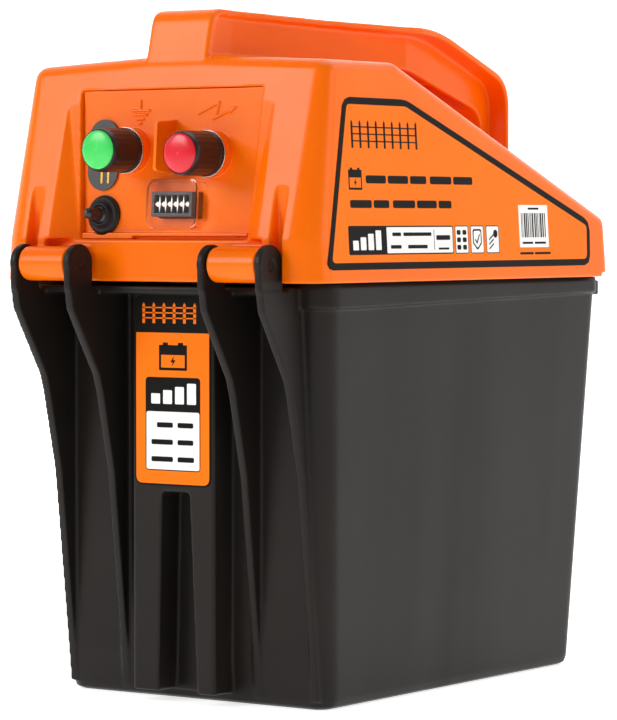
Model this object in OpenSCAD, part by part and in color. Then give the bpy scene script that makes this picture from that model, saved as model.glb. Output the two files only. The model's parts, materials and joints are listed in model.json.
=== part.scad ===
// Portable battery fence energizer.
// A drafted black case holds a 9 V fence battery.  An orange lid with the
// electronics, the terminals and the carrying handle is hinged on two steel
// pins at the front of the case.
// Origin: centre of the case's bottom face.  +Z up, the control panel faces -Y.

/* [Case] */
// Width of the case at its bottom
base_w = 146.4; // [140:0.2:156]
// Length of the case at its bottom
base_l = 214.5; // [208:0.5:220]
// Height of the case's rim
rim_z = 188; // [184:0.5:188.5]
// How far each side leans out from bottom to rim
side_lean = 9.7; // [6:0.1:11]
// How far the front corners lean out from bottom to rim
front_lean = 14.3; // [10:0.1:16]
// How far the rear leans out from bottom to rim
rear_lean = 9.5; // [6:0.1:10]
// Wall thickness of the case
case_wall = 2.6; // [2:0.1:3]
// Radius of the upright corners
corner_r = 10; // [6:0.5:12]
// Thickness of the hinge ribs and their ears
rib_t = 3.9; // [3:0.1:4]

/* [Lid] */
// Half width of the lid at its lower edge
lid_hw = 88.4; // [86:0.1:90]
// Height of the lid's lower edge
lid_z = 190; // [189.5:0.1:191]
// Wall thickness of the lid
lid_wall = 2.5; // [2:0.1:3]
// Angle that the lid opens
lid_open = 105; // [90:1:105]

/* [Hinge] */
// Height of the hinge axis
hinge_z = 198; // [197.8:0.1:198.4]
// Radius of the lid's hinge barrels
barrel_r = 7.85; // [7:0.05:7.9]
// Radius of the steel hinge pins
pin_r = 2.25; // [2:0.05:2.5]

/* [Terminals] */
// Radius of the terminal knobs
knob_r = 10.2; // [9:0.1:10.4]
// Length of the terminal knobs
knob_l = 19.3; // [16:0.1:20]
// Radius of the terminal studs
stud_r = 3; // [2.5:0.1:3]

/* [Handle] */
// Top height of the handle
handle_top = 312.3; // [310:0.1:314]
// Half width of the grip's flange at the rear
handle_flare = 37; // [32:0.5:40]

/* [Hidden] */
$fn = 48;

yb = -base_l / 2;          // moves the front bottom edge to y = 0 before placing
hinge_y = -36;             // hinge axis, measured from the front bottom edge
front_y = -31;             // lid's front face at its lower edge
rear_y = 225;              // lid's rear face at its lower edge
kink_z = 209;              // lid's front is upright below this height
slope = 0.2354;            // lean of the lid's front face
side_tan = 0.0602;         // draft of the lid's sides
pnl_y = -19.2;             // control panel's face at its lower edge
pnl_z = 209;               // control panel's lower edge
pnl_a = 4.17;              // control panel's lean from upright
ear_r = 8.85;
earth_x = -20.8;
fence_x = 24.7;
earth_z = 248.8;
fence_z = 246.9;
boss_y = -22;              // front face of the terminal bosses
sw_x = -35.4;
sw_z = 10.8;               // switch centre above the panel's lower edge
so_x = -37;
so_z = 38;                 // socket centre above the panel's lower edge
socket_x = [-0.6, 3.1];    // socket contacts, from the socket's centre
le_x = 7.7;                // lens centre
le_z = 15.3;
panel_fix = [[-44.5, 4.5], [44.5, 4.5], [-47.8, 61], [47.8, 61]];
wall_y = -1.5;             // upright front wall between the hinge ribs
cover_z = 194.4;           // underside of the inner cover
pad_y = -15;               // face of the raised pad

module place() translate([0, yb, 0]) children();
// local frame of the control panel: -y points out of the panel, z runs up it
module on_panel() translate([0, pnl_y, pnl_z]) rotate([-pnl_a, 0, 0]) children();
// exact rounded rectangle prism, built from boxes and cylinders
module rbox(x0, x1, y0, y1, r, z0, z1) {
  translate([x0 + r, y0, z0]) cube([x1 - x0 - 2 * r, y1 - y0, z1 - z0]);
  translate([x0, y0 + r, z0]) cube([x1 - x0, y1 - y0 - 2 * r, z1 - z0]);
  for (x = [x0 + r, x1 - r], y = [y0 + r, y1 - r]) translate([x, y, z0]) cylinder(r = r, h = z1 - z0);
}
module xcyl(r, x0, x1, y, z) translate([x0, y, z]) rotate([0, 90, 0]) cylinder(r = r, h = x1 - x0);
module ycyl(r, y0, y1, x, z) translate([x, y1, z]) rotate([90, 0, 0]) cylinder(r = r, h = y1 - y0);
// side-view outline (points are [y, z]) extruded from x0 to x1
module side(x0, x1, pts) translate([x0, 0, 0]) rotate([90, 0, 90]) linear_extrude(x1 - x0) polygon(pts);

function cw(z) = base_w / 2 + side_lean * z / rim_z;
function cf(z) = -front_lean * z / rim_z;
function cr(z) = base_l + rear_lean * z / rim_z;

// ---------------------------------------------------------------- case
module layer(z, o, r) for (x = [-1, 1], e = [0, 1])
  translate([x * (cw(z) - o - r), e == 0 ? cf(z) + o + r : cr(z) - o - r, z]) cylinder(r = r, h = 0.02, $fn = 32);
module tub_body(o, z0) hull() {
  layer(z0, o + 4, corner_r - 4);
  layer(z0 + 1.3, o + 1.2, corner_r - 2);
  layer(z0 + 4.5, o, corner_r - o);
  layer(rim_z + (o > 0 ? 1 : -0.02), o, corner_r - o);
}
module hinge_rib(x) {
  side(x, x + rib_t, [[4, 4], [wall_y + 1, 4], [-12.2, 103], [-20.5, 139], [-23, 147], [-42, 177.5], [-43.6, 186.5], [-12, 186.5], [4, 186.5]]);
  difference() {
    union() {
      side(x + 0.15, x + rib_t - 0.15, [[-44.4, 186.4], [-27.4, 186.4], [hinge_y + ear_r - 0.25, hinge_z], [hinge_y - ear_r + 0.25, hinge_z]]);
      xcyl(ear_r, x + 0.15, x + rib_t - 0.15, hinge_y, hinge_z);
    }
    xcyl(pin_r + 0.02, x - 1, x + rib_t + 1, hinge_y, hinge_z);
  }
}
module case_tub() color([0.13, 0.125, 0.12]) place() {
  difference() {
    union() {
      difference() {
        tub_body(0, 0);
        // upright front wall between the outer ribs
        translate([-70, -60, -1]) cube([140, 60 + wall_y, 185.6]);
      }
      // rim band round the case, deeper at the front
      difference() {
        rbox(-cw(183) - 1.6, cw(183) + 1.6, cf(183) - 1.6, cr(183) + 1.6, corner_r + 1.6, 176, rim_z);
        side(-100, 100, [[-60, 170], [-60, 178.6], [2, 178.6], [208, 182.2], [260, 182.2], [260, 170]]);
        translate([-70, -60, 170]) cube([140, 60 + wall_y, 14.6]);
      }
      // shelf across the front between the ribs
      translate([-70, -23.5, 184.6]) cube([140, 26, rim_z - 184.6]);
      // raised pad with the label, split by a channel below it
      difference() {
        rbox(-22.6, 23.2, pad_y, 4, 1.5, 5, 186);
        translate([0, wall_y - 0.01, 0]) rotate([90, 0, 0]) linear_extrude(20) polygon([[-8.2, 3], [13.5, 3], [9.3, 93.5], [8.9, 94.9], [7.6, 95.4], [-4.5, 95.4], [-5.8, 94.9], [-6.2, 93.5]]);
      }
      // ledge at the rear, under the lid's lip
      translate([-78, 220, 181]) cube([156, 10, 7]);
      for (x = [-70, -39.2, 35.2, 66.1]) hinge_rib(x);
    }
    // battery bay
    difference() {
      tub_body(case_wall, case_wall);
      translate([-73, -60, 0]) cube([146, 61, 200]);
    }
    for (x = [-70, -39.2, 35.2, 66.1]) xcyl(pin_r + 0.02, x - 1, x + rib_t + 1, hinge_y, hinge_z);
  }
}
module hinge_pin(x0, x1) color([0.72, 0.73, 0.75]) place() {
  xcyl(pin_r, x0, x1, hinge_y, hinge_z);
}
module hinge_pin_left() hinge_pin(-69.3, -35.6);
module hinge_pin_right() hinge_pin(35.6, 69.3);
module front_label() color([0.95, 0.45, 0.05]) place()
  translate([0, pad_y, 0]) rotate([90, 0, 0]) rbox(-20.8, 21.5, 98.2, 184, 4, 0, 0.35);

// ---------------------------------------------------------------- lid
module ball(x, y, z, r) for (s = [-1, 1]) translate([s * x, y, z]) sphere(r = r, $fn = 24);
function sx(z, r) = lid_hw - side_tan * (z - lid_z) - r * 1.0018;
module lid_body(o, z0) hull() {
  for (s = [-1, 1]) {
    translate([s * (lid_hw - 14), front_y + 14, z0]) cylinder(r = 14 - o, h = 0.05, $fn = 48);
    translate([s * (lid_hw - side_tan * (kink_z - lid_z) - 14), front_y + 14, kink_z - 0.05]) cylinder(r = 14 - o, h = 0.05, $fn = 48);
    translate([s * (lid_hw - 8), rear_y - 8, z0]) cylinder(r = 8 - o, h = 2, $fn = 32);
  }
  ball(sx(281, 7), -6.86, 281, 7 - o);
  ball(18, -6.86, 284, 7 - o);
  ball(sx(283, 5), 42.2, 283, 5 - o);
  ball(18, 42.2, 286, 5 - o);
  ball(sx(214.5, 6), 217, 214.5, 6 - o);
  ball(18, 217, 216.5, 6 - o);
}
// plate the size of the panel, w wider all round, from y0 to y1 in the panel's frame
module panel_plate(w, y0, y1) translate([0, y1, 0]) rotate([90, 0, 0])
  linear_extrude(y1 - y0) polygon([[-46.4 - w, -w], [46.4 + w, -w], [50.5 + w, 67.3 + w], [-50.5 - w, 67.3 + w]]);
module pt(x, y, z) for (s = [-1, 1]) translate([s * x - 0.01, y, z]) cube(0.02);
module pocket() hull() {
  pt(46.8, pnl_y - 3.2, pnl_z - 0.2);
  pt(50.9, pnl_y + 1.7, pnl_z + 67.6);
  pt(61.6, pnl_y - 14.6, pnl_z - 0.2);
  pt(59, pnl_y + 3.2, pnl_z + 70.2);
}
posts = [[74, 14], [74, 112], [74, 207]];
function lid_top(y) = y < 46 ? 287 : 283.6 - 0.3856 * (y - 54.5);
module lid_shell() color([1, 0.42, 0.03]) place() {
  difference() {
    union() {
      difference() {
        union() {
          lid_body(0, lid_z);
        }
        // space for the electronics
        difference() {
          lid_body(lid_wall, lid_z - 1);
          side(-73.2, 73.2, [[-60, 180], [-14.2, 180], [-14.2, kink_z], [-9.2, 277], [-7.5, 300], [-60, 300]]);
        }
        translate([-58, -21.5, 189]) cube([116, 12, 16]);
        // recess in front of the control panel, and the face below it
        pocket();
        translate([-60.5, -60, 180]) cube([121, 36, kink_z - 180]);
        on_panel() panel_plate(0.2, -4, 2.6);
        on_panel() {
          panel_plate(-4.5, 0, 12);
          for (p = panel_fix) translate([p[0], 0, p[1]]) rotate([-90, 0, 0]) cylinder(r = 1.5, h = 12);
        }
        // relief under the rear corners
        translate([-100, 216, 189]) cube([200, 20, 3]);
        // clearance notches for the outer ears
        for (s = [-1, 1]) side(s * 68.05 - 3, s * 68.05 + 3, [[-60, 180], [-24.3, 180], [-24.3, 212], [-25.4, 232.5], [-60, 232.5]]);
      }
      // ledge that the seal of the inner cover is pressed on
      difference() {
        intersection() {
          lid_body(lid_wall - 0.4, lid_z);
          union() {
            translate([-100, -23, cover_z + 4.55]) cube([200, 260, 2.2]);
            for (s = [-1, 1]) translate([s * 86.5 - 13.3, -60, cover_z + 4.55]) cube([26.6, 60, 2.2]);
          }
        }
        rbox(-80.6, 80.6, -7.8, 216.8, 3, 190, 204);
      }
      // hinge barrels
      for (s = [-1, 1]) {
        xcyl(barrel_r, s * 52.8 - 12.8, s * 52.8 + 12.8, hinge_y, hinge_z);
        translate([s * 52.8 - 12.8, hinge_y, 190.4]) cube([25.6, 14.6, 15]);
      }
      // screw posts for the inner cover
      for (s = [-1, 1], p = posts) translate([s * p[0], p[1], cover_z + 2.55]) cylinder(r = 4, h = lid_top(p[1] + 4) - cover_z - 3.15);
    }
    for (s = [-1, 1]) xcyl(pin_r + 0.08, s * 52.8 - 14, s * 52.8 + 14, hinge_y, hinge_z);
    for (s = [-1, 1], p = posts) translate([s * p[0], p[1], 190]) cylinder(r = 1.6, h = 22);
  }
}
// ---------------------------------------------------------------- handle
// a corner b between a and c, rounded over the distance d
function towards(a, b, d) = a + (b - a) * (d / norm(b - a));
function bend(a, b, c, d, n = 6) = [for (i = [0:n]) let (t = i / n, p = towards(b, a, d), q = towards(b, c, d)) (1 - t) * (1 - t) * p + 2 * t * (1 - t) * b + t * t * q];
// outer line of the grip seen from the side, t below its surface
function grip_line(t) = let (p0 = [-13.4 + t, 284], p1 = [-6.7 + t, handle_top - t], p2 = [149.5 - 0.18 * t, handle_top - 3.9 - t], p3 = [213 - t, 286 - 0.7 * t], p4 = [213 - t, 217])
  concat([p0], bend(p0, p1, p2, 7 - t * 0.8), bend(p1, p2, p3, 14), bend(p2, p3, p4, 13 - t * 0.6), [p4]);
function flip(v) = [for (i = [len(v) - 1:-1:0]) v[i]];
function grip(t) = concat(grip_line(0), flip(grip_line(t)));
// lower edge of the stem, from the rear leg to the front leg
stem_edge = concat([[203, 217]], bend([203, 217], [203, 270], [136, 289.4], 9), bend([203, 270], [136, 289.4], [30, 289.4], 8), [[30, 289.4], [-5, 284]]);
module grip_plan(w0, w1, w2) linear_extrude(330) polygon([[-w0, -30], [-w0, 10], [-w1, 76], [-w2, 135], [-w2, 240], [w2, 240], [w2, 135], [w1, 76], [w0, 10], [w0, -30]]);
module carry_handle() color([1, 0.42, 0.03]) place() difference() {
  union() {
    // flange
    intersection() {
      side(-60, 60, grip(3));
      grip_plan(17, 23, handle_flare);
    }
    // stem under the flange, open below
    difference() {
      intersection() {
        side(-60, 60, concat(grip_line(0.5), stem_edge));
        grip_plan(15.4, 20, 26.5);
      }
      intersection() {
        side(-60, 60, [[14, 285], [14, handle_top - 4.4], [146, handle_top - 8.2], [197, 288], [196, 270], [134, 285]]);
        grip_plan(12.6, 17, 23.5);
      }
    }
    // cross ribs inside the stem
    intersection() {
      union() for (y = [45, 76, 107, 138, 169]) translate([-30, y, 280]) cube([60, 2.2, 40]);
      side(-60, 60, [[5, 291.4], [5, handle_top - 3], [141, handle_top - 7], [196, 287.5], [196, 277], [136, 291.4]]);
      grip_plan(14, 18, 24.5);
    }
  }
  lid_body(0, lid_z);
}

// ---------------------------------------------------------------- control panel
module stroke(a, b, w) translate(a) rotate([0, 0, atan2(b[1] - a[1], b[0] - a[0])]) translate([0, -w / 2]) square([norm([b[0] - a[0], b[1] - a[1]]), w]);
module symbols() translate([0, 0.01, 0]) rotate([90, 0, 0]) linear_extrude(0.75) {
  // earth
  stroke([-17.5, 62.7], [-17.5, 58], 0.9);
  for (r = [[5.4, 58], [3.95, 56.1], [2.2, 54.1], [0.8, 52.1]]) translate([-17.3 - r[0], r[1] - 0.45]) square([2 * r[0], 0.9]);
  // live fence
  stroke([14.8, 55.8], [25.6, 60.5], 0.9);
  stroke([26.5, 61.4], [25, 55.2], 0.9);
  stroke([23.2, 53.5], [34, 57.95], 0.9);
  polygon([[31.6, 58.4], [36.2, 58.9], [32.5, 55.8]]);
}
module control_panel() color([1, 0.45, 0.08]) place() difference() {
  union() {
    on_panel() {
      panel_plate(0, 0, 2.5);
      symbols();
      // divider between the terminals
      translate([2.4, 0, 0]) side(-0.9, 0.9, [[1, 29.5], [1, 53.5], [-13.5, 51.5], [-14.5, 50.5], [-14.5, 31], [-13.5, 29.5]]);
      // lip along the lower edge, clear of the switch's boot
      difference() {
        union() {
          translate([-46.1, -2.6, 1.3]) cube([92.2, 3.6, 1.4]);
          translate([-46.1, -2.6, 0.01]) cube([28.6, 3.6, 2.6]);
        }
        translate([sw_x, 0, sw_z]) rotate([90, 0, 0]) cylinder(r = 9.15, h = 6);
      }
    }
    ycyl(10, boss_y, -15.5, earth_x, earth_z);
    ycyl(10, boss_y, -15.5, fence_x, fence_z);
  }
  ycyl(stud_r + 0.03, -30, 0, earth_x, earth_z);
  ycyl(stud_r + 0.03, -30, 0, fence_x, fence_z);
  on_panel() {
    translate([sw_x, 6, sw_z]) rotate([90, 0, 0]) cylinder(r = 4.25, h = 12);
    // socket cut-out
    translate([so_x, 6, so_z]) rotate([90, 0, 0]) linear_extrude(12) { translate([-6.7, -8]) square([13.4, 16]); for (s = [-1, 1]) translate([0, s * 8]) circle(r = 6.7); }
    // display cut-out
    translate([-4.5, -3, 9.3]) cube([23.2, 9, 11.8]);
    for (p = panel_fix) translate([p[0], 0.9, p[1]]) rotate([-90, 0, 0]) cylinder(r = 1.25, h = 5);
  }
}
module lens_rbox(o, y0, y1) translate([0, y1, 0]) rotate([90, 0, 0]) linear_extrude(y1 - y0) {
  w = 14.4 - o; h = 11.1 - o; r = 4.6 - o;
  translate([le_x - w, le_z - h + r]) square([2 * w, 2 * h - 2 * r]);
  translate([le_x - w + r, le_z - h]) square([2 * w - 2 * r, 2 * h]);
  for (a = [-1, 1], b = [-1, 1]) translate([le_x + a * (w - r), le_z + b * (h - r)]) circle(r = r);
}
module display_lens() color([0.95, 0.8, 0.75, 0.4]) place() on_panel() difference() {
  union() { lens_rbox(0, -7.2, 0); lens_rbox(0.8, -8, -7.2); }
  lens_rbox(1.3, -6.7, 1);
}
module led_bezel() color([0.32, 0.32, 0.34]) place() on_panel() difference() {
  translate([-4.1, -6.2, 9.7]) cube([22.4, 11.2, 11]);
  for (i = [0:5]) translate([-2.5 + i * 3.3, -7, 11.2]) cube([2.8, 3, 8]);
}
module led_segments() color([0.96, 0.95, 0.92]) place() on_panel()
  for (i = [0:5]) translate([-2.5 + i * 3.3 + 1.4, -4.05, 15.2]) rotate([90, 0, 0]) rotate([0, 0, 45]) cylinder(r = 1.7, h = 1.2, $fn = 4);
module display_board() color([0.08, 0.35, 0.2]) place() on_panel() translate([-8, 5.05, 6]) cube([31, 1.5, 17]);

// ---------------------------------------------------------------- terminals
module stud(x, z) color([0.78, 0.66, 0.36]) place() {
  ycyl(stud_r, -38, -8, x, z);
  ycyl(5.5, -8.2, -6.2, x, z);
}
module earth_stud() stud(earth_x, earth_z);
module fence_stud() stud(fence_x, fence_z);
module stud_nuts() color([0.75, 0.75, 0.77]) place() for (t = [[earth_x, earth_z], [fence_x, fence_z]])
  difference() {
    translate([t[0], -8.25, t[1]]) rotate([90, 0, 0]) cylinder(r = 5.8, h = 5, $fn = 6);
    ycyl(stud_r + 0.03, -16, 0, t[0], t[1]);
  }
module washer(x, z) color([0.85, 0.83, 0.78]) place() difference() {
  ycyl(10.5, boss_y - 1, boss_y - 0.05, x, z);
  ycyl(stud_r + 0.35, boss_y - 3, boss_y + 2, x, z);
}
module earth_washer() washer(earth_x, earth_z);
module fence_washer() washer(fence_x, fence_z);
module knob(x, z) color([0.12, 0.1, 0.09]) place() translate([x, boss_y - 1.05, z]) rotate([90, 0, 0]) difference() {
  rotate_extrude() polygon([[0, 0], [9.6, 0], [knob_r, 0.6], [knob_r, 1.8], [knob_r - 0.35, 2.2], [knob_r - 0.2, knob_l - 2.4], [knob_r - 0.9, knob_l - 0.5], [9.0, knob_l], [8.75, knob_l], [8.75, knob_l - 1.6], [0, knob_l - 1.6]]);
  translate([0, 0, -1]) cylinder(r = stud_r + 0.06, h = 17.2);
}
module earth_knob() knob(earth_x, earth_z);
module fence_knob() knob(fence_x, fence_z);
module cap(x, z) place() translate([x, boss_y - 1.05 - knob_l + 1.6, z]) rotate([90, 0, 0])
  rotate_extrude() polygon(concat([[0, 0], [8.7, 0]], [for (a = [0:10:90]) [8.7 * cos(a), 1.4 + 1.6 * sin(a)]]));
module earth_cap() color([0.25, 0.85, 0.35]) cap(earth_x, earth_z);
module fence_cap() color([0.9, 0.15, 0.18]) cap(fence_x, fence_z);

// ---------------------------------------------------------------- auxiliary socket
module stadium(w, l) { translate([-w, -l]) square([2 * w, 2 * l]); for (s = [-1, 1]) translate([0, s * l]) circle(r = w); }
module socket_housing() color([0.17, 0.17, 0.17]) place() difference() {
  on_panel() translate([so_x, 0, so_z]) rotate([90, 0, 0]) difference() {
    union() {
      translate([0, 0, 0.02]) linear_extrude(1.1) stadium(8.5, 7.6);
      translate([0, 0, -9]) linear_extrude(9.1) stadium(6.5, 7.9);
    }
    for (x = socket_x) translate([x - 0.65, -13, -7]) cube([1.3, 6.4, 12]);
  }
  ycyl(10.3, -40, 0, earth_x, earth_z);
}
module socket_contacts() color([0.85, 0.62, 0.2]) place() on_panel() translate([so_x, 0, so_z])
  for (x = socket_x) translate([x - 0.64, -1, -12.98]) cube([1.28, 7.95, 6.36]);

// ---------------------------------------------------------------- switch
module on_switch() on_panel() translate([sw_x, 0, sw_z]) rotate([90, 0, 0]) children();
module switch_body() color([0.15, 0.25, 0.45]) place() on_switch() difference() {
  union() {
    translate([-6.5, -8.5, -24]) cube([13, 17, 17]);
    translate([0, 0, -7.1]) cylinder(r = 4.2, h = 7.6);
  }
  translate([0, 0, -5.5]) cylinder(r = 3.3, h = 10);
}
module switch_nut() color([0.75, 0.75, 0.77]) place() on_switch() translate([0, 0, -5.2]) difference() {
  cylinder(r = 5.3, h = 2.6, $fn = 6);
  translate([0, 0, -1]) cylinder(r = 4.23, h = 5);
}
module switch_boot() color([0.07, 0.07, 0.07]) place() on_switch() difference() {
  rotate_extrude() polygon(concat([[4.4, 0.02], [8.9, 0.02], [8.9, 1.1], [8.6, 1.5]],
    [for (a = [0:20:180]) [7.2 + 1.1 * cos(a), 1.6 + 1.1 * sin(a)]], [[6.1, 2.2], [5.2, 4.4], [4.9, 4.7], [4.2, 4.7]]));
  translate([0, 0, 1]) sphere(r = 5.55);
  translate([0, 0, -1]) cylinder(r = 4.5, h = 2.6);
}
module switch_lever() color([0.1, 0.1, 0.1]) place() on_switch() translate([0, 0, 1]) union() {
  intersection() {
    sphere(r = 5.2);
    translate([-8, -8, 1.2]) cube([16, 16, 12]);
  }
  rotate_extrude() polygon([[0, -4], [2, -4], [2, 2], [3, 4], [2.4, 10.6], [0, 10.6]]);
  translate([0, 0, 10.8]) sphere(r = 2.5);
}

// ---------------------------------------------------------------- electronics
module main_board() color([0.08, 0.38, 0.2]) place() difference() {
  translate([-60, 22, 202.6]) cube([120, 150, 1.6]);
  for (x = [-54, 54], y = [28, 166]) translate([x, y, 200]) cylinder(r = 1.7, h = 6);
}
module transformer_core() color([0.35, 0.35, 0.37]) place() difference() {
  translate([-10, 112, 204.3]) cube([56, 40, 34]);
  translate([-1, 111, 211]) cube([12, 42, 21]);
  translate([25, 111, 211]) cube([12, 42, 21]);
}
module transformer_coil() color([0.75, 0.45, 0.15]) place() difference() {
  translate([-0.6, 106, 211.4]) cube([37.2, 52, 20.2]);
  translate([10.9, 111.9, 205]) cube([14.2, 40.2, 30]);
}
module storage_capacitor() color([0.2, 0.35, 0.6]) place() {
  xcyl(17.5, -42, 18, 62, 222);
  translate([-42, 52, 204.3]) cube([60, 20, 6]);
}
module board_parts() color([0.2, 0.2, 0.2]) place() {
  translate([-52, 104, 204.3]) cube([26, 34, 14]);          // driver module
  translate([38, 40, 204.3]) cube([16, 12, 15]);            // relay
  translate([-48, 152, 204.3]) cylinder(r = 6, h = 18);     // filter capacitor
  translate([-32, 152, 204.3]) cylinder(r = 6, h = 18);     // filter capacitor
  translate([34, 66, 204.3]) cube([20, 10, 4]);             // controller
  translate([34, 84, 204.3]) cube([4, 14, 16]);             // switching transistor
}
module inner_cover() color([0.16, 0.16, 0.16]) place() difference() {
  union() {
    rbox(-84.4, 84.4, -11.8, 221, 5.4, cover_z, cover_z + 2.5);
    for (x = [-54, 54], y = [28, 166]) translate([x, y, cover_z + 2]) cylinder(r = 4.5, h = 202.55 - cover_z - 2);
  }
  for (s = [-1, 1], p = posts) translate([s * p[0], p[1], 185]) cylinder(r = 1.9, h = 15);
  for (x = [-54, 54], y = [28, 166]) translate([x, y, 196]) cylinder(r = 1.35, h = 10);
  translate([0, 196, 185]) cylinder(r = 6.05, h = 15);
}
module cover_seal() color([0.06, 0.06, 0.06]) place() difference() {
  rbox(-82.8, 82.8, -10, 219, 4, cover_z + 2.55, cover_z + 4.5);
  rbox(-80.6, 80.6, -7.8, 216.8, 3, 190, 200);
}
module cover_screws() color([0.7, 0.7, 0.72]) place() for (s = [-1, 1], p = posts) translate([s * p[0], p[1], 0]) {
  translate([0, 0, cover_z - 2.45]) cylinder(r = 3.3, h = 2.4);
  translate([0, 0, cover_z - 0.1]) cylinder(r = 1.5, h = 16);
}
module board_screws() color([0.7, 0.7, 0.72]) place() for (x = [-54, 54], y = [28, 166]) translate([x, y, 0]) {
  translate([0, 0, 204.25]) cylinder(r = 3, h = 1.9);
  translate([0, 0, 197]) cylinder(r = 1.3, h = 7.5);
}
module panel_screws() color([0.7, 0.7, 0.72]) place() on_panel() for (p = panel_fix) translate([p[0], 0, p[1]]) rotate([-90, 0, 0]) {
  translate([0, 0, 1.1]) cylinder(r = 1.2, h = 5);
  translate([0, 0, 5.25]) cylinder(r = 2.4, h = 1.6);
}
module lead_gland() color([0.05, 0.05, 0.05]) place() translate([0, 196, 0]) difference() {
  union() {
    translate([0, 0, cover_z - 2.4]) cylinder(r = 8.5, h = 2.35);
    translate([0, 0, cover_z - 2.2]) cylinder(r = 6, h = 9);
  }
  translate([0, 0, 180]) cylinder(r = 2.6, h = 30);
}

// ---------------------------------------------------------------- side labels
module side_label(s) color([1, 0.5, 0.05]) place()
  intersection() {
    difference() {
      translate([s > 0 ? 70 : -90, -20, 192]) cube([20, 230, 90]);
      lid_body(0, lid_z);
      translate([s * (lid_hw + 0.25), 0, lid_z]) rotate([0, s > 0 ? -3.445 : 3.445, 0]) translate([s > 0 ? 0 : -40, -60, -20]) cube([40, 340, 140]);
    }
    side(-100, 100, [[-19.8, 198.5], [-18.6, 196.4], [-16, 195.7], [199, 195.7], [203, 197], [204.6, 200.5], [205.4, 212.5], [204, 216.5], [200.5, 218.8], [52.6, 269.9], [48.5, 271.1], [44, 271.5], [3, 271.5], [-0.5, 270.4], [-2.9, 267.6]]);
  }
module side_label_right() side_label(1);
module side_label_left() side_label(-1);

case_tub();
hinge_pin_left();
hinge_pin_right();
front_label();
lid_shell();
carry_handle();
control_panel();
display_lens();
led_bezel();
led_segments();
display_board();
earth_stud();
fence_stud();
stud_nuts();
earth_washer();
fence_washer();
earth_knob();
fence_knob();
earth_cap();
fence_cap();
socket_housing();
socket_contacts();
switch_body();
switch_nut();
switch_boot();
switch_lever();
main_board();
transformer_core();
transformer_coil();
storage_capacitor();
board_parts();
inner_cover();
cover_seal();
cover_screws();
board_screws();
panel_screws();
lead_gland();
side_label_right();
side_label_left();
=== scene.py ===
"""Looks of the fence energizer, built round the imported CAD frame. Metres, same frame as the CAD."""
import bpy
import bmesh
import json
import math
from mathutils import Vector, Matrix


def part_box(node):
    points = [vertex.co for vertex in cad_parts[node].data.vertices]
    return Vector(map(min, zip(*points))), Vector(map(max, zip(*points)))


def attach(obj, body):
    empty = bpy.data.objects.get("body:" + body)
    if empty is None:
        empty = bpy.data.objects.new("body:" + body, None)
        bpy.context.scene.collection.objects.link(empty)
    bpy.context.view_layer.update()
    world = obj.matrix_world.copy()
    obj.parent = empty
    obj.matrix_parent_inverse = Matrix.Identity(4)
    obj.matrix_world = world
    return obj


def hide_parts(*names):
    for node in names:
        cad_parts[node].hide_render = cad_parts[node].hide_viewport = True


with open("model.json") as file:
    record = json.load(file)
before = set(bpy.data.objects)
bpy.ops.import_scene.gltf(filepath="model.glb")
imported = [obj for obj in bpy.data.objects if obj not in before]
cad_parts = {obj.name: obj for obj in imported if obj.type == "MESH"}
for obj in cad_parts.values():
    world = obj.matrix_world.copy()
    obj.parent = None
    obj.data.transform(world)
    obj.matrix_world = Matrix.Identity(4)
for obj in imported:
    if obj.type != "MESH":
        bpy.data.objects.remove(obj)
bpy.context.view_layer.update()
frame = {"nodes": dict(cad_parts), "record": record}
NODE = frame["nodes"]
BODY = {}
for _b, _ns in frame["record"]["behaviour"]["bodies"].items():
    for _n in _ns:
        BODY[_n] = _b
YB = -0.10725          # the case's front bottom edge
MM = 0.001


# ------------------------------------------------------------------ materials
def srgb(r, g, b):
    def f(c):
        c /= 255.0
        return c / 12.92 if c <= 0.04045 else ((c + 0.055) / 1.055) ** 2.4
    return (f(r), f(g), f(b), 1.0)


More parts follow.
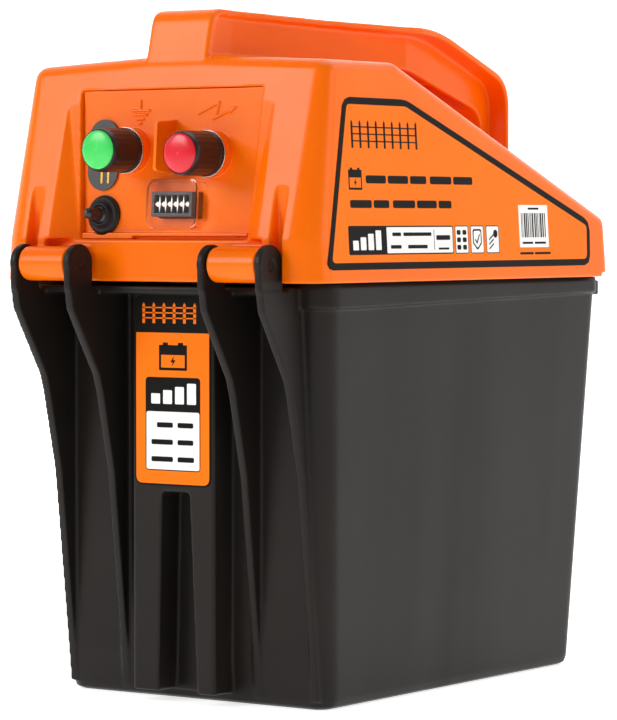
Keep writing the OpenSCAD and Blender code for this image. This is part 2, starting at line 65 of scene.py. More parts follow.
class Mat:
    """A principled material with a small node tree in object coordinates."""

    def __init__(self, name, rough=0.4, spec=0.5, metal=0.0, coat=0.0, coat_rough=0.1, ior=1.5, **extra):
        self.m = bpy.data.materials.new(name)
        self.m.use_nodes = True
        self.t = self.m.node_tree
        self.t.nodes.clear()
        self.out = self.t.nodes.new("ShaderNodeOutputMaterial")
        self.b = self.t.nodes.new("ShaderNodeBsdfPrincipled")
        self.t.links.new(self.b.outputs[0], self.out.inputs[0])
        self.b.inputs["Roughness"].default_value = rough
        self.b.inputs["Metallic"].default_value = metal
        self.b.inputs["IOR"].default_value = ior
        self.b.inputs["Specular IOR Level"].default_value = spec
        self.b.inputs["Coat Weight"].default_value = coat
        self.b.inputs["Coat Roughness"].default_value = coat_rough
        for k, v in extra.items():
            self.b.inputs[k].default_value = v
        self.geo = self.t.nodes.new("ShaderNodeTexCoord")
        self.bump_out = None

    def noise(self, scale, detail=3.0, rough=0.55, stretch=None, dim=None):
        n = self.t.nodes.new("ShaderNodeTexNoise")
        n.inputs["Scale"].default_value = scale
        n.inputs["Detail"].default_value = detail
        n.inputs["Roughness"].default_value = rough
        src = self.geo.outputs["Object"]
        if stretch:
            mp = self.t.nodes.new("ShaderNodeMapping")
            mp.inputs["Scale"].default_value = stretch
            self.t.links.new(src, mp.inputs[0])
            src = mp.outputs[0]
        self.t.links.new(src, n.inputs["Vector"])
        return n.outputs["Fac"]

    def voronoi(self, scale, feature="F1"):
        n = self.t.nodes.new("ShaderNodeTexVoronoi")
        n.feature = feature
        n.inputs["Scale"].default_value = scale
        self.t.links.new(self.geo.outputs["Object"], n.inputs["Vector"])
        return n.outputs["Distance"]

    def ramp(self, fac, stops):
        r = self.t.nodes.new("ShaderNodeValToRGB")
        r.color_ramp.elements[0].position = stops[0][0]
        r.color_ramp.elements[0].color = stops[0][1]
        r.color_ramp.elements[1].position = stops[-1][0]
        r.color_ramp.elements[1].color = stops[-1][1]
        for p, c in stops[1:-1]:
            e = r.color_ramp.elements.new(p)
            e.color = c
        self.t.links.new(fac, r.inputs[0])
        return r.outputs[0]

    def mix(self, fac, a, b):
        n = self.t.nodes.new("ShaderNodeMix")
        n.data_type = "RGBA"
        for sock, v in ((n.inputs[0], fac), (n.inputs[6], a), (n.inputs[7], b)):
            if hasattr(v, "links"):
                self.t.links.new(v, sock)
            else:
                sock.default_value = v
        return n.outputs[2]

    def color(self, sock):
        self.t.links.new(sock, self.b.inputs["Base Color"])

    def rough(self, fac, lo, hi):
        n = self.t.nodes.new("ShaderNodeMapRange")
        n.inputs["From Min"].default_value = 0.3
        n.inputs["From Max"].default_value = 0.7
        n.inputs["To Min"].default_value = lo
        n.inputs["To Max"].default_value = hi
        self.t.links.new(fac, n.inputs["Value"])
        self.t.links.new(n.outputs[0], self.b.inputs["Roughness"])

    def bump(self, fac, strength, dist):
        n = self.t.nodes.new("ShaderNodeBump")
        n.inputs["Strength"].default_value = strength
        n.inputs["Distance"].default_value = dist
        self.t.links.new(fac, n.inputs["Height"])
        if self.bump_out is not None:
            self.t.links.new(self.bump_out, n.inputs["Normal"])
        self.bump_out = n.outputs[0]
        self.t.links.new(self.bump_out, self.b.inputs["Normal"])
        if self.b.inputs["Coat Weight"].default_value > 0:
            self.t.links.new(self.bump_out, self.b.inputs["Coat Normal"])

    def edge(self):
        """Pointiness of the surface, 0.5 on flats and higher on edges."""
        n = self.t.nodes.new("ShaderNodeNewGeometry")
        return n.outputs["Pointiness"]


def plastic(name, base, dark, light, rough=(0.3, 0.42), grain=0.0, spec=0.5, coat=0.0, wave=0.0, sss=0.0, fine=900.0, streak=False):
    m = Mat(name, rough=rough[0], spec=spec, coat=coat, coat_rough=0.08)
    f = m.noise(14.0, 3.0)
    c1 = m.ramp(f, [(0.3, dark), (0.5, base), (0.72, light)])
    edge = m.ramp(m.edge(), [(0.0, dark), (0.46, (0.5, 0.5, 0.5, 1)), (0.54, (0.5, 0.5, 0.5, 1)), (0.7, light)])
    f2 = m.noise(fine * 0.3, 2.0)
    c2 = m.ramp(f2, [(0.35, dark), (0.65, base)])
    mixed = m.mix(0.25, c1, c2)
    # painted highlight: where pointiness is high, on convex edges, the colour is mixed 35% towards the light tone
    edge_highlight = m.ramp(m.edge(), [(0.5, (0, 0, 0, 1)), (0.62, (1, 1, 1, 1))])
    bw = m.t.nodes.new("ShaderNodeRGBToBW")
    m.t.links.new(edge_highlight, bw.inputs[0])
    scaled = m.t.nodes.new("ShaderNodeMath")
    scaled.operation = "MULTIPLY"
    scaled.inputs[1].default_value = 0.35
    m.t.links.new(bw.outputs[0], scaled.inputs[0])
    m.t.nodes.remove(edge.node)
    m.color(m.mix(scaled.outputs[0], mixed, light))
    m.rough(m.noise(1.0, 3.0, stretch=(22, 22, 1.5)) if streak else m.noise(60.0, 4.0), rough[0], rough[1])
    if wave:
        m.bump(m.noise(18.0, 2.0), wave, 0.001)
    if grain:
        m.bump(m.noise(fine, 3.0, 0.6), grain, 0.0002)
    if sss:
        m.b.inputs["Subsurface Weight"].default_value = sss
        m.b.inputs["Subsurface Radius"].default_value = (0.004, 0.0015, 0.0005)
        m.b.inputs["Subsurface Scale"].default_value = 1.0
    return m.m


ORANGE = plastic("lid_orange", srgb(254, 112, 0), srgb(252, 107, 0), srgb(255, 117, 1),
                 rough=(0.2, 0.27), grain=0.05, spec=0.2, wave=0.06)
PANEL = plastic("panel_orange", srgb(254, 114, 0), srgb(252, 109, 0), srgb(255, 119, 2),
                rough=(0.24, 0.32), grain=0.05, spec=0.24, wave=0.03)
BLACK = plastic("case_black", srgb(34, 30, 27), srgb(31, 27, 25), srgb(40, 36, 33),
                rough=(0.3, 0.46), grain=0.22, spec=0.15, wave=0.06, fine=1400.0, streak=True)
KNOB = plastic("knob_black", srgb(32, 24, 22), srgb(24, 18, 16), srgb(50, 38, 34),
               rough=(0.3, 0.42), grain=0.15, spec=0.4, fine=1800.0)
DARK = plastic("dark_plastic", srgb(28, 28, 29), srgb(20, 20, 21), srgb(48, 48, 50), rough=(0.35, 0.5), grain=0.2, spec=0.4)
LEVER = plastic("lever_black", srgb(30, 31, 34), srgb(22, 23, 26), srgb(60, 63, 70), rough=(0.26, 0.36), grain=0.1, spec=0.6)
SOCKET = plastic("socket_grey", srgb(66, 64, 64), srgb(56, 54, 54), srgb(92, 90, 90), rough=(0.36, 0.46), grain=0.12, spec=0.45)
GREEN = plastic("green_cap", srgb(62, 214, 92), srgb(50, 200, 80), srgb(86, 226, 112), rough=(0.22, 0.3), grain=0.05)
RED = plastic("red_cap", srgb(224, 22, 40), srgb(210, 14, 30), srgb(238, 40, 56), rough=(0.22, 0.3), grain=0.05)
LABEL = plastic("label_orange", srgb(255, 118, 0), srgb(253, 112, 0), srgb(255, 124, 4), rough=(0.42, 0.5), grain=0.06, spec=0.12)
INK = plastic("label_black", srgb(20, 18, 17), srgb(15, 13, 13), srgb(27, 24, 23), rough=(0.42, 0.5), grain=0.06, spec=0.07)
PAPER = plastic("label_white", srgb(246, 244, 240), srgb(240, 238, 234), srgb(250, 249, 246), rough=(0.42, 0.52), grain=0.05, spec=0.3)
BEZEL = plastic("bezel_grey", srgb(62, 60, 62), srgb(50, 48, 50), srgb(84, 82, 84), rough=(0.4, 0.5), grain=0.1)


def rubber():
    m = Mat("rubber_black", rough=0.6, spec=0.35)
    m.color(m.ramp(m.noise(300.0, 4.0), [(0.3, srgb(20, 19, 19)), (0.7, srgb(38, 36, 36))]))
    m.rough(m.noise(90.0), 0.5, 0.68)
    m.bump(m.noise(1500.0, 3.0), 0.25, 0.0002)
    return m.m


def metal(name, base, dark, rough=(0.22, 0.4), stretch=(1, 1, 30)):
    m = Mat(name, metal=1.0)
    m.color(m.ramp(m.noise(60.0, 4.0), [(0.3, dark), (0.7, base)]))
    m.rough(m.noise(160.0, 4.0, stretch=stretch), rough[0], rough[1])
    m.bump(m.noise(400.0, 3.0, stretch=stretch), 0.12, 0.0002)
    return m.m


RUBBER = rubber()
STEEL = metal("steel", srgb(200, 200, 204), srgb(160, 160, 165))
BRASS = metal("brass", srgb(224, 180, 92), srgb(180, 134, 60))
WASHER = metal("washer_metal", srgb(226, 222, 212), srgb(190, 184, 172), rough=(0.2, 0.32))


def lens_material():
    m = Mat("clear_lens", rough=0.04, ior=1.45, spec=0.5, coat=0.4, coat_rough=0.05)
    m.b.inputs["Transmission Weight"].default_value = 1.0
    m.color(m.ramp(m.noise(40.0), [(0.3, (1.0, 0.92, 0.88, 1)), (0.7, (1.0, 0.96, 0.94, 1))]))
    m.rough(m.noise(120.0), 0.02, 0.06)
    m.bump(m.noise(150.0, 2.0), 0.04, 0.0004)
    # light passes the thin clear wall straight on, so what is behind it isn't in its shade
    clear = m.t.nodes.new("ShaderNodeBsdfTransparent")
    clear.inputs[0].default_value = (1.0, 0.97, 0.95, 1.0)
    path = m.t.nodes.new("ShaderNodeLightPath")
    mix = m.t.nodes.new("ShaderNodeMixShader")
    m.t.links.new(path.outputs["Is Shadow Ray"], mix.inputs[0])
    m.t.links.new(m.b.outputs[0], mix.inputs[1])
    m.t.links.new(clear.outputs[0], mix.inputs[2])
    m.t.links.new(mix.outputs[0], m.out.inputs[0])
    return m.m


LENS = lens_material()


def led_material():
    m = Mat("led_white", rough=0.3)
    m.color(m.ramp(m.noise(200.0), [(0.3, srgb(238, 236, 232)), (0.7, srgb(255, 253, 248))]))
    # painted glow: a faint emission makes the white fields shine of themselves
    m.b.inputs["Emission Color"].default_value = (1.0, 0.97, 0.92, 1.0)
    m.b.inputs["Emission Strength"].default_value = 0.25
    m.bump(m.noise(500.0), 0.1, 0.0003)
    return m.m


LED = led_material()


def board_material():
    m = Mat("board_green", rough=0.35, coat=0.3)
    m.color(m.ramp(m.voronoi(260.0), [(0.0, srgb(10, 70, 34)), (0.35, srgb(16, 96, 48)), (0.8, srgb(30, 120, 60))]))
    m.rough(m.noise(120.0), 0.28, 0.42)
    m.bump(m.voronoi(260.0), 0.1, 0.0003)
    return m.m


BOARD = board_material()
BLUE = plastic("switch_blue", srgb(40, 68, 118), srgb(30, 54, 100), srgb(60, 92, 146), rough=(0.35, 0.45), grain=0.1)
CAPB = plastic("capacitor_blue", srgb(52, 96, 168), srgb(40, 80, 150), srgb(74, 118, 190), rough=(0.25, 0.35), grain=0.05)
COIL = metal("coil_copper", srgb(206, 126, 70), srgb(150, 82, 40), stretch=(1, 1, 60))


def core_material():
    m = Mat("core_grey", rough=0.5, metal=0.8)
    m.color(m.ramp(m.noise(900.0, 2.0, stretch=(0.02, 1, 0.02)), [(0.35, srgb(70, 70, 74)), (0.65, srgb(130, 130, 134))]))
    m.rough(m.noise(90.0), 0.4, 0.6)
    m.bump(m.noise(900.0, 1.0, stretch=(0.02, 1, 0.02)), 0.3, 0.0003)
    return m.m


CORE = core_material()


# ------------------------------------------------------------------ mesh tools
def apply_mods(o):
    dg = bpy.context.evaluated_depsgraph_get()
    me = bpy.data.meshes.new_from_object(o.evaluated_get(dg), depsgraph=dg)
    old = o.data
    o.modifiers.clear()
    o.data = me
    bpy.data.meshes.remove(old)


def smooth_all(o, on=True):
    o.data.polygons.foreach_set("use_smooth", [on] * len(o.data.polygons))
    o.data.update()


def set_mat(o, m):
    o.data.materials.clear()
    o.data.materials.append(m)
    return o


def link(name, me, body, m, replaces=()):
    o = bpy.data.objects.new(name, me)
    bpy.context.scene.collection.objects.link(o)
    set_mat(o, m)
    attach(o, body)
    if replaces:
        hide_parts(*replaces)
    return o


def moulded(node, m, voxel, iters=3, fac=0.5, name=None, decimate=None, edit=None, soft=None, extra=None):
    """A copy of a CAD node whose edges and inner corners are rounded like moulded plastic."""
    nodes = [node] if isinstance(node, str) else list(node)
    node = nodes[0]
    me = bpy.data.meshes.new("m_" + node)
    bm = bmesh.new()
    for n in nodes:
        bm.from_mesh(NODE[n].data)
    if extra:
        extra(bm)
    bmesh.ops.remove_doubles(bm, verts=bm.verts, dist=2e-6)
    bm.to_mesh(me)
    bm.free()
    o = bpy.data.objects.new(name or ("v_" + node), me)
    bpy.context.scene.collection.objects.link(o)
    v = voxel * 1.0
    r = o.modifiers.new("r", "REMESH")
    r.mode = "VOXEL"
    r.voxel_size = v
    r.adaptivity = 0.0
    s = o.modifiers.new("s", "SMOOTH")
    s.factor = fac
    s.iterations = iters
    if soft:
        # a region that is rounded more than the rest: soft(x, y, z) gives 0 to 1
        apply_mods(o)
        g = o.vertex_groups.new(name="soft")
        for vert in o.data.vertices:
            wgt = soft(*vert.co)
            if wgt > 0:
                g.add([vert.index], min(1.0, wgt), "REPLACE")
        s2 = o.modifiers.new("s2", "SMOOTH")
        s2.factor = 0.5
        s2.iterations = 24
        s2.vertex_group = "soft"
    if decimate:
        d = o.modifiers.new("d", "DECIMATE")
        d.decimate_type = "COLLAPSE"
        d.ratio = decimate
    apply_mods(o)
    if edit:
        edit(o)
    smooth_all(o)
    set_mat(o, m)
    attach(o, BODY[node])
    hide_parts(*nodes)
    return o


def bevelled(node, m, width, segs=2, angle=35):
    """Keeps the CAD node and rounds its edges with a modifier."""
    o = NODE[node]
    set_mat(o, m)
    w = o.modifiers.new("w", "WELD")
    w.merge_threshold = 2e-6
    b = o.modifiers.new("b", "BEVEL")
    b.width = width
    b.segments = segs
    b.limit_method = "ANGLE"
    b.angle_limit = math.radians(angle)
    b.use_clamp_overlap = True
    b.harden_normals = False
    for p in o.data.polygons:
        p.use_smooth = True
    n = o.modifiers.new("n", "WEIGHTED_NORMAL")
    n.keep_sharp = True
    return o


def tag_smooth_by_angle(o, deg=35):
    bm = bmesh.new()
    bm.from_mesh(o.data)
    for f in bm.faces:
        f.smooth = True
    for e in bm.edges:
        e.smooth = not (len(e.link_faces) == 2 and e.calc_face_angle(0) > math.radians(deg))
    bm.to_mesh(o.data)
    bm.free()


# ------------------------------------------------------------------ body of the object
def step(lo, hi, v):
    t = max(0.0, min(1.0, (v - lo) / (hi - lo)))
    return t * t * (3 - 2 * t)


def handle_soft(x, y, z):
    """The carrying handle's leg and grip, above the lid's own surface."""
    if abs(x) > 0.042:
        return 0.0
    return step(0.2785, 0.286, z) if y < 0.02 else step(0.225, 0.245, z) * step(0.02, 0.05, y) * 0.6


lid = moulded(("lid_shell", "carry_handle"), ORANGE, 0.00062, iters=4, name="lid_moulding", soft=handle_soft)


def rim_lip(bm):
    """The low lip on the case's rim, which closes the gap under the lid's edge."""
    loops = []
    for off, z in ((0.0, 187.3), (0.0, 189.8), (2.4, 189.8), (2.4, 187.3)):
        x1, y0, y1, r = 83.5 - off, -121.6 + off, 117.3 - off, 9.5 - off
        loop = []
        for cx, cy, a0 in ((x1 - r, y1 - r, 0), (-x1 + r, y1 - r, 90), (-x1 + r, y0 + r, 180), (x1 - r, y0 + r, 270)):
            for i in range(9):
                a = math.radians(a0 + 90 * i / 8)
                loop.append(bm.verts.new(((cx + r * math.cos(a)) * MM, (cy + r * math.sin(a)) * MM, z * MM)))
        loops.append(loop)
    n = len(loops[0])
    for k in range(4):
        a, b = loops[k], loops[(k + 1) % 4]
        for i in range(n):
            j = (i + 1) % n
            bm.faces.new((a[i], a[j], b[j], b[i]))


tub = moulded("case_tub", BLACK, 0.0007, iters=3, extra=rim_lip)
panel = moulded("control_panel", PANEL, 0.00026, iters=2)
lever = moulded("switch_lever", LEVER, 0.0002, iters=5)
boot = moulded("switch_boot", RUBBER, 0.0002, iters=4)


def lathe(name, prof, n, place, m, body, node, flute=None):
    """A closed turned piece; flute(t) is how deep the grip's shallow flutes are at each profile point."""
    bm = bmesh.new()
    rings = []
    for i, (r, h) in enumerate(prof):
        if r == 0:
            rings.append([bm.verts.new(place(0, 0, h))])
            continue
        ring = []
        for k in range(n):
            a = 2 * math.pi * k / n
            rr = r - (flute(i) * (0.5 - 0.5 * math.cos(24 * a)) if flute else 0)
            ring.append(bm.verts.new(place(rr * math.cos(a), rr * math.sin(a), h)))
        rings.append(ring)
    for a, b in zip(rings, rings[1:]):
        for k in range(n):
            j = (k + 1) % n
            if len(a) == 1 and len(b) > 1:
                bm.faces.new((a[0], b[k], b[j]))
            elif len(b) == 1 and len(a) > 1:
                bm.faces.new((a[k], a[j], b[0]))
            else:
                bm.faces.new((a[k], a[j], b[j], b[k]))
    bmesh.ops.recalc_face_normals(bm, faces=bm.faces)
    for f in bm.faces:
        f.smooth = True
    for e in bm.edges:
        e.smooth = e.calc_face_angle(0) < math.radians(38)
    me = bpy.data.meshes.new(name)
    bm.to_mesh(me)
    bm.free()
    return link(name, me, body, m, replaces=(node,))


KNOB_PROF = [(0, 16.2), (3.06, 16.2), (3.06, 0), (9.3, 0), (9.7, 0.1), (10.05, 0.35), (10.19, 0.7), (10.19, 1.5), (10.05, 1.85), (9.8, 2.1),
             (9.72, 2.6), (9.85, 3.4), (9.9, 6), (9.95, 10), (9.98, 15.6), (9.98, 16.7), (9.8, 17.6), (9.5, 18.4), (9.2, 18.95), (9.02, 19.2),
             (8.9, 19.27), (8.8, 19.2), (8.76, 19.0), (8.76, 17.7), (0, 17.7)]
for tag, body, x, z in (("earth", "earth_screw", -20.8, 248.8), ("fence", "fence_screw", 24.7, 246.9)):
    def at(u, v, h, x=x, z=z):
        return ((x + u) * MM, (-107.25 - 23.05 - h) * MM, (z + v) * MM)
    lathe("v_%s_knob" % tag, KNOB_PROF, 144, at, KNOB, body, tag + "_knob",
          flute=lambda i: 0.16 if 11 <= i <= 15 else 0.0)

for n, m in (("earth_cap", GREEN), ("fence_cap", RED)):
    bevelled(n, m, 0.0002)
for n in ("earth_washer", "fence_washer"):
    bevelled(n, WASHER, 0.0002)
for n in ("earth_stud", "fence_stud", "socket_contacts"):
    bevelled(n, BRASS, 0.00015)
for n in ("stud_nuts", "switch_nut", "cover_screws", "board_screws", "panel_screws"):
    bevelled(n, STEEL, 0.0002)
for n in ("hinge_pin_left", "hinge_pin_right"):
    bevelled(n, BLACK, 0.0002)
for n, m in (("socket_housing", SOCKET), ("board_parts", DARK), ("inner_cover", DARK),
             ("switch_body", BLUE), ("storage_capacitor", CAPB), ("transformer_coil", COIL), ("transformer_core", CORE),
             ("main_board", BOARD), ("display_board", BOARD), ("led_bezel", BEZEL),
             ("display_lens", LENS), ("cover_seal", RUBBER), ("lead_gland", RUBBER)):
    bevelled(n, m, 0.0002)
for n in ("front_label", "side_label_right", "side_label_left"):
    bevelled(n, INK, 0.0001)


# ------------------------------------------------------------------ printed graphics, all generic
class Print:
    """Thin closed plates on a label. Shapes are drawn in millimetres in the label's own two axes."""

    def __init__(self, name, mats, to3, body):
        self.name, self.mats, self.to3, self.body = name, mats, to3, body
        self.bm = bmesh.new()

    def poly(self, pts, mat, layer, base=-0.05):
        area2 = sum(a[0] * b[1] - b[0] * a[1] for a, b in zip(pts, pts[1:] + pts[:1]))
        if area2 < 0:
            pts = pts[::-1]
        hi = [self.bm.verts.new(self.to3(u, v, layer)) for u, v in pts]
        lo = [self.bm.verts.new(self.to3(u, v, base)) for u, v in pts]
        fs = [self.bm.faces.new(hi), self.bm.faces.new(lo[::-1])]
        for i in range(len(pts)):
            j = (i + 1) % len(pts)
            fs.append(self.bm.faces.new((hi[j], hi[i], lo[i], lo[j])))
        for f in fs:
            f.material_index = mat

    def box(self, u0, u1, v0, v1, mat, layer, r=0.0):
        self.poly(round_corners([(u0, v0), (u1, v0), (u1, v1), (u0, v1)], [r] * 4), mat, layer)

    def line(self, a, b, w, mat, layer):
        d = Vector((b[0] - a[0], b[1] - a[1])).normalized() * (w / 2)
        n = Vector((-d.y, d.x))
        self.poly([(a[0] - d.x - n.x, a[1] - d.y - n.y), (b[0] + d.x - n.x, b[1] + d.y - n.y),
                   (b[0] + d.x + n.x, b[1] + d.y + n.y), (a[0] - d.x + n.x, a[1] - d.y + n.y)], mat, layer)

    def done(self):
        bmesh.ops.recalc_face_normals(self.bm, faces=self.bm.faces)
        me = bpy.data.meshes.new(self.name)
        self.bm.to_mesh(me)
        self.bm.free()
        o = bpy.data.objects.new(self.name, me)
        bpy.context.scene.collection.objects.link(o)
        for m in self.mats:
            me.materials.append(m)
        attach(o, self.body)
        return o


def round_corners(pts, radii, n=6):
    """A polygon with each corner rounded; the radius is cut to what its sides allow."""
    out = []
    k = len(pts)
    for i in range(k):
        a, b, c = Vector(pts[i - 1]), Vector(pts[i]), Vector(pts[(i + 1) % k])
        r = radii[i]
        if r <= 0:
            out.append(tuple(b))
            continue
        u, v = (a - b).normalized(), (c - b).normalized()
        half = u.angle(v) / 2
        d = min(r / math.tan(half), 0.49 * (a - b).length, 0.49 * (c - b).length)
        p, q = b + u * d, b + v * d
        for t in range(n + 1):
            t /= n
            out.append(tuple((1 - t) * (1 - t) * p + 2 * t * (1 - t) * b + t * t * q))
    return out


def inset(pts, d):
    """Corner points of a polygon moved in by d, counterclockwise."""
    out = []
    k = len(pts)
    for i in range(k):
        a, b, c = Vector(pts[i - 1]), Vector(pts[i]), Vector(pts[(i + 1) % k])
        e, f = (b - a).normalized(), (c - b).normalized()
        n1, n2 = Vector((-e.y, e.x)), Vector((-f.y, f.x))
        m = (n1 + n2).normalized()
        out.append(tuple(b + m * (d / max(0.2, m.dot(n1)))))
    return out


def outer_plane(node, way):
    """The outer plane of a thin plate: unit normal and offset in metres."""
    best, got = 0.0, None
    for p in NODE[node].data.polygons:
        if p.normal.dot(way) > 0.7 and p.area > best:
            best, got = p.area, p.normal.copy()
    return got, max(v.co.dot(got) for v in NODE[node].data.vertices)


def bolt(pr, u, v, h, mat, layer):
    s = h / 10.0
    pr.poly([(u + x * s, v + y * s) for x, y in ((1.2, 5), (-3.2, -0.9), (-0.4, -0.9), (-1.4, -5), (3.2, 1.1), (0.5, 1.1))], mat, layer)


def battery(pr, u0, u1, v0, v1, ink, paper, layer):
    """A generic battery: two terminals, a full top and a window with a bolt."""
    w, h = u1 - u0, v1 - v0
    pr.box(u0, u1, v0, v0 + h * 0.82, ink, layer, r=0.3)
    for k in (0.14, 0.68):
        pr.box(u0 + w * k, u0 + w * (k + 0.18), v0 + h * 0.8, v0 + h * 0.9, ink, layer)
    pr.box(u0 + w * 0.08, u1 - w * 0.08, v0 + h * 0.09, v0 + h * 0.5, paper, layer + 0.02)
    bolt(pr, (u0 + u1) / 2, v0 + h * 0.295, h * 0.34, ink, layer + 0.04)


def fence(pr, u0, u1, v0, v1, ink, layer, posts=6):
    """A generic fence: posts with pointed tops and three wires."""
    w = (u1 - u0)
    for i in range(posts):
        x = u0 + 0.8 + (w - 1.6) * i / (posts - 1)
        pr.poly([(x - 0.75, v0), (x + 0.75, v0), (x + 0.75, v1 - 1.2), (x, v1), (x - 0.75, v1 - 1.2)], ink, layer)
    for k in (0.25, 0.5, 0.75):
        v = v0 + (v1 - v0) * k
        pr.box(u0, u1, v - 0.28, v + 0.28, ink, layer)


def words(pr, u0, v0, v1, spans, ink, layer):
    """Plain bars where words would be."""
    mid, hh = (v0 + v1) / 2, (v1 - v0)
    for a, b in spans:
        pr.box(u0 + a, u0 + b, mid - hh * 0.18, mid + hh * 0.18, ink, layer, r=hh * 0.12)


# front label
nrm, off = outer_plane("front_label", Vector((0, -1, 0)))
fl = Print("front_label_print", [LABEL, INK, PAPER], lambda u, v, h, n=nrm, d=off: (
    u * MM, (d + h * MM - n.x * u * MM - n.z * v * MM) / n.y, v * MM), "case")
lo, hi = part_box("front_label")
fx0, fx1, fz0 = lo[0] * 1000, hi[0] * 1000, lo[2] * 1000
A, B, P = 0, 1, 2
fl.poly(round_corners([(fx0 + 0.7, fz0 + 0.8), (fx1 - 0.7, fz0 + 0.8), (fx1 - 0.7, 167), (fx0 + 0.7, 167)], [3.5, 3.5, 0, 0]), A, 0.03)
fence(fl, -16.6, 13.6, 171.2, 180.6, A, 0.03, posts=6)
battery(fl, -7.2, 8.5, 150.1, 164.0, B, A, 0.06)
fl.box(-14.8, 15.9, 104.9, 147.0, B, 0.05, r=2.0)
fl.box(-14.3, 15.4, 105.4, 131.5, P, 0.07, r=1.2)
for i, hgt in enumerate((4.6, 6.2, 7.8, 9.4)):
    fl.box(-11.6 + i * 6.7, -6.6 + i * 6.7, 135.0, 135.0 + hgt, P, 0.07, r=0.5)
for v, spans in ((125.5, ((2.6, 11.6), (14.2, 23))), (117.8, ((-0.5, 11.6), (14.2, 23))), (110.1, ((-0.5, 11.6), (14.2, 23.4)))):
    words(fl, -11.0, v - 3.2, v + 3.2, spans, B, 0.09)
fl.done()

# side labels
CORN = [(-20.5, 195.7), (204.3, 195.7), (205.7, 217.0), (48.0, 271.5), (-1.95, 271.5)]
for tag, sx in (("right", 1.0), ("left", -1.0)):
    nrm, off = outer_plane("side_label_" + tag, Vector((sx, 0, 0)))
    sl = Print("side_label_print_" + tag, [LABEL, INK, PAPER], lambda u, v, h, n=nrm, d=off: (
        (d + h * MM - n.y * (u - 107.25) * MM - n.z * v * MM) / n.x, (u - 107.25) * MM, v * MM), "lid")
    sl.poly(round_corners(inset(CORN, 3.1), [2.2, 3.0, 3.0, 9.0, 2.6]), A, 0.03)
    fence(sl, 2.6, 55.6, 249.2, 261.6, B, 0.06, posts=9)
    battery(sl, -1.0, 9.5, 230.8, 241.6, B, A, 0.06)
    words(sl, 12.6, 230.6, 240.4, ((0, 16), (17.6, 34), (35.6, 49), (52, 70), (71.6, 88)), B, 0.06)
    words(sl, -0.6, 219.8, 229.4, ((0, 17), (18.6, 31), (34, 52), (53.6, 70), (71.6, 82.4)), B, 0.06)
    sl.box(-3.1, 81.8, 202.2, 215.0, B, 0.05, r=1.0)
    sl.box(27.1, 81.3, 202.8, 214.4, P, 0.07, r=0.6)
    for i, hgt in enumerate((4.2, 5.7, 7.2, 8.7)):
        sl.box(0.2 + i * 6.0, 4.6 + i * 6.0, 204.3, 204.3 + hgt, P, 0.07, r=0.5)
    words(sl, 30.0, 209.0, 213.4, ((1.6, 8.6), (10.6, 33.6)), B, 0.09)
    words(sl, 30.0, 203.4, 207.8, ((0, 8.6), (14.0, 30.0)), B, 0.09)
    sl.box(65.6, 66.0, 204.2, 213.2, B, 0.09)
    words(sl, 67.6, 206.6, 212.6, ((0, 11.6),), B, 0.09)
    words(sl, 67.6, 203.3, 205.9, ((1.6, 10.4),), B, 0.09)
    for u in (83.6, 96.8, 110.3):
        sl.box(u, u + 11.2, 202.2, 215.0, B, 0.05, r=1.0)
        sl.box(u + 0.4, u + 10.8, 202.6, 214.6, P, 0.07, r=0.8)
    for i in range(2):
        for j in range(3):
            sl.box(85.0 + i * 4.9, 88.3 + i * 4.9, 204.0 + j * 3.4, 206.2 + j * 3.4, B, 0.09, r=0.9)
    sl.poly(round_corners([(98.6, 206.8), (102.4, 203.6), (106.2, 206.8), (106.2, 213.4), (98.6, 213.4)], [1.5] * 5), B, 0.09)
    sl.poly(round_corners([(99.4, 207.2), (102.4, 204.6), (105.4, 207.2), (105.4, 212.6), (99.4, 212.6)], [1.2] * 5), P, 0.11)
    sl.line((100.9, 208.4), (102.1, 207.1), 0.8, B, 0.13)
    sl.line((102.1, 207.1), (104.2, 210.6), 0.8, B, 0.13)
    sl.poly([(118.4 + 1.9 * math.cos(t * math.pi / 8), 211.2 + 1.9 * math.sin(t * math.pi / 8)) for t in range(16)], B, 0.09)
    for k in range(3):
        sl.line((113.0, 204.4 + k * 2.1), (116.4, 206.4 + k * 2.1), 0.7, B, 0.09)
    sl.box(139.9, 166.2, 204.7, 224.6, P, 0.07, r=0.5)
    u = 142.0
    for i in range(17):
        wd = (0.55, 1.1, 0.4, 0.8, 1.3)[(i * 7) % 5]
        sl.box(u, u + wd, 209.4, 220.8, B, 0.09)
        u += wd + (0.6, 0.45, 0.9)[(i * 5) % 3]
        if u > 163.6:
            break
    words(sl, 148.4, 221.6, 224.2, ((0, 9.6),), B, 0.09)
    words(sl, 142.4, 205.4, 208.2, ((0, 9.4), (11, 21.2)), B, 0.09)
    words(sl, 139.9, 200.4, 203.4, ((0, 12), (13.2, 27.6)), B, 0.06)
    sl.done()

# display: six white fields with a faint painted glow, between slender reflectors, over a dark ground
PA = math.radians(4.17)


def panel_at(u, v, h):
    """h millimetres out of the panel's face, v up it."""
    return (u * MM, (-107.25 - 19.2 - h * math.cos(PA) + v * math.sin(PA)) * MM, (209 + h * math.sin(PA) + v * math.cos(PA)) * MM)


dp = Print("display_fields", [LED, INK, BEZEL], panel_at, "lid")
for i in range(6):
    c = -1.1 + 3.3 * i
    dp.box(c - 1.38, c + 1.38, 11.25, 19.15, 1, 4.2)
    dp.poly([(c - 1.3, 15.2), (c, 14.05), (c + 1.3, 15.2), (c, 16.35)], 0, 5.7, base=4.1)
for i in range(5):
    c = 0.55 + 3.3 * i
    dp.poly([(c - 0.55, 15.2), (c, 11.6), (c + 0.55, 15.2), (c, 18.8)], 0, 6.32, base=6.15)
o = dp.done()
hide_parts("led_segments")

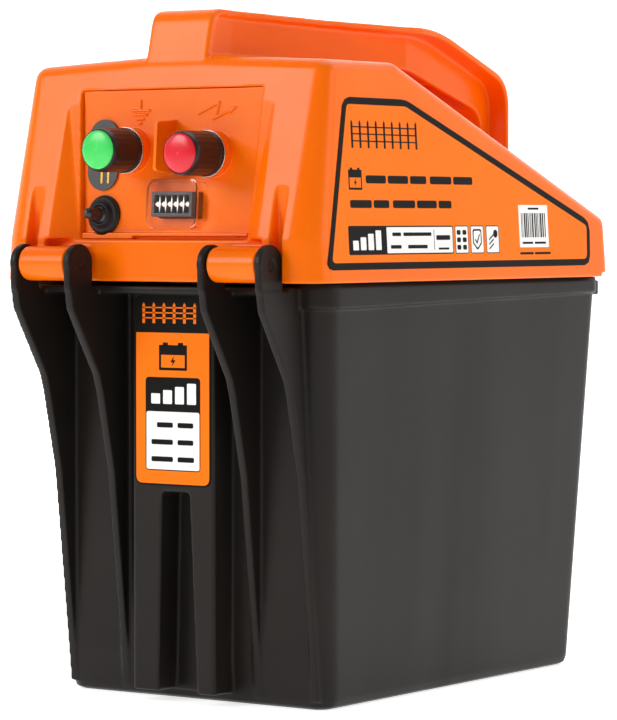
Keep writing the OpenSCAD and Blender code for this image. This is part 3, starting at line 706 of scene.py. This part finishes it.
# ------------------------------------------------------------------ stage, light, camera
def stage_scene():
    me = bpy.data.meshes.new("floor")
    bm = bmesh.new()
    # a floor that sweeps up behind the object
    prof = [(-6.0, 0.0), (1.6, 0.0)]
    for i in range(1, 13):
        a = math.radians(90 * i / 12)
        prof.append((1.6 + 1.0 * math.sin(a), 1.0 - 1.0 * math.cos(a)))
    prof.append((2.6, 6.0))
    rows = []
    for y, z in prof:
        rows.append([bm.verts.new((x, y, z)) for x in (-8.0, 8.0)])
    for a, b in zip(rows, rows[1:]):
        bm.faces.new((a[0], a[1], b[1], b[0]))
    bm.to_mesh(me)
    bm.free()
    o = bpy.data.objects.new("floor", me)
    bpy.context.scene.collection.objects.link(o)
    o.rotation_euler = (0, 0, math.radians(34.8))
    for p in me.polygons:
        p.use_smooth = True
    m = Mat("floor", rough=0.75, spec=0.1)
    m.b.inputs["Emission Color"].default_value = (1.0, 1.0, 1.0, 1.0)
    m.b.inputs["Emission Strength"].default_value = 0.72
    m.color(m.ramp(m.noise(6.0, 2.0), [(0.3, (0.86, 0.86, 0.86, 1)), (0.7, (0.88, 0.88, 0.88, 1))]))
    o.data.materials.append(m.m)


stage_scene()


def area(name, loc, target, size, power, color=(1, 1, 1), size_y=None):
    l = bpy.data.lights.new(name, "AREA")
    l.energy = power
    l.color = color
    l.size = size
    if size_y:
        l.shape = "RECTANGLE"
        l.size_y = size_y
    o = bpy.data.objects.new(name, l)
    bpy.context.scene.collection.objects.link(o)
    o.location = loc
    o.rotation_euler = (Vector(target) - Vector(loc)).to_track_quat("-Z", "Y").to_euler()
    return o


C = (0, 0, 0.16)
area("key", (-0.98, -1.5, 1.0), (0, -0.1, 0.22), 0.75, 14, size_y=0.8)
area("side", (2.0, 0.9, 0.9), C, 1.3, 9.5, size_y=1.2)
area("top", (0.1, 0.3, 1.9), C, 1.4, 12)
w = bpy.data.worlds.new("w")
bpy.context.scene.world = w
w.use_nodes = True
w.node_tree.nodes["Background"].inputs[0].default_value = (1.0, 1.0, 1.0, 1.0)
w.node_tree.nodes["Background"].inputs[1].default_value = 0.3

cam = bpy.data.cameras.new("cam")
cam.lens = 178.456
cam.sensor_width = 36
cam.sensor_fit = "AUTO"
co = bpy.data.objects.new("cam", cam)
bpy.context.scene.collection.objects.link(co)
co.location = (0.963604, -1.401321, 0.217854)
co.rotation_euler = (math.radians(87.7435), 0, math.radians(34.8059))
bpy.context.scene.camera = co
bpy.context.scene.view_settings.view_transform = "Standard"

bpy.context.view_layer.update()
